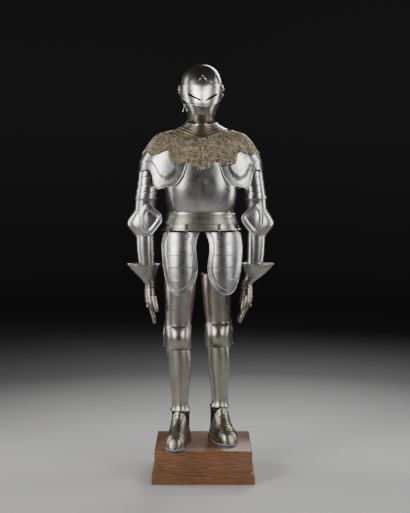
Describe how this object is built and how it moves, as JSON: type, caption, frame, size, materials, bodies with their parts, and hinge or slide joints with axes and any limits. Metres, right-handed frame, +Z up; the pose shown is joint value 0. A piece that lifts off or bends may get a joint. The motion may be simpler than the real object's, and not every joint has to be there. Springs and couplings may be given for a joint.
{
  "type": "suit of plate armour on a wooden plinth",
  "caption": "Full suit of steel plate armour with a close helmet, mail cape, tassets, gauntlets and sabatons, standing hollow on a low wooden plinth.",
  "frame": {"origin": "middle of the plinth's underside", "axes": "+Z up, the front of the suit towards -Y, +X towards the suit's own left arm"},
  "size_m": [0.6934, 0.4377, 1.93],
  "materials": {
    "steel_plate": "old polished plate steel, satin, faintly streaked",
    "steel_fittings": "filed and polished small steel fittings",
    "mail_rings": "dull brassy rings, joined into mail",
    "strap_leather": "dark waxed strap leather, worn",
    "sole_cloth": "slate-blue woven cloth over a stiff sole",
    "plinth_wood": "brown stained wood, waxed, with plain grain"
  },
  "bodies": {
    "root": {"helmet_skull": "steel_plate", "helmet_pivot_right": "steel_fittings", "helmet_pivot_left": "steel_fittings", "gorget_front": "steel_plate", "gorget_back": "steel_plate", "mail_cape": "mail_rings", "breastplate": "steel_plate", "backplate": "steel_plate", "fauld_front": "steel_plate", "fauld_back": "steel_plate", "tasset_right": "steel_plate", "strap_inner_right": "strap_leather", "strap_outer_right": "strap_leather", "buckle_right": "steel_fittings", "pauldron_right": "steel_plate", "upper_cannon_right": "steel_plate", "lower_cannon_right": "steel_plate", "couter_right": "steel_plate", "couter_wing_right": "steel_plate", "vambrace_right": "steel_plate", "gauntlet_cuff_right": "steel_plate", "gauntlet_hand_right": "steel_plate", "gauntlet_fingers_right": "steel_plate", "gauntlet_thumb_right": "steel_plate", "cuisse_right": "steel_plate", "poleyn_right": "steel_plate", "poleyn_wing_right": "steel_plate", "greave_front_right": "steel_plate", "greave_back_right": "steel_plate", "sabaton_right": "steel_plate", "sabaton_toe_right": "steel_plate", "heel_plate_right": "steel_plate", "sole_right": "sole_cloth", "tasset_left": "steel_plate", "strap_inner_left": "strap_leather", "buckle_left": "steel_fittings", "pauldron_left": "steel_plate", "upper_cannon_left": "steel_plate", "lower_cannon_left": "steel_plate", "couter_left": "steel_plate", "couter_wing_left": "steel_plate", "vambrace_left": "steel_plate", "gauntlet_cuff_left": "steel_plate", "gauntlet_hand_left": "steel_plate", "gauntlet_fingers_left": "steel_plate", "gauntlet_thumb_left": "steel_plate", "cuisse_left": "steel_plate", "poleyn_left": "steel_plate", "poleyn_wing_left": "steel_plate", "greave_front_left": "steel_plate", "greave_back_left": "steel_plate", "sabaton_left": "steel_plate", "sabaton_toe_left": "steel_plate", "heel_plate_left": "steel_plate", "sole_left": "sole_cloth", "plinth_foot_board": "plinth_wood", "plinth_block": "plinth_wood"},
    "bevor": {"helmet_bevor": "steel_plate", "helmet_fork": "steel_fittings"},
    "visor": {"helmet_visor": "steel_plate"}
  },
  "joints": [
    {"name": "bevor_hinge", "type": "hinge", "parent": "root", "child": "bevor", "pos_m": [-0.01065, -0.00499, 1.813], "axis": [-0.9976, -0.0698, 0], "range_deg": [0, 45]},
    {"name": "visor_hinge", "type": "hinge", "parent": "bevor", "child": "visor", "pos_m": [-0.01065, -0.00499, 1.813], "axis": [-0.9976, -0.0698, 0], "range_deg": [0, 60]}
  ]
}
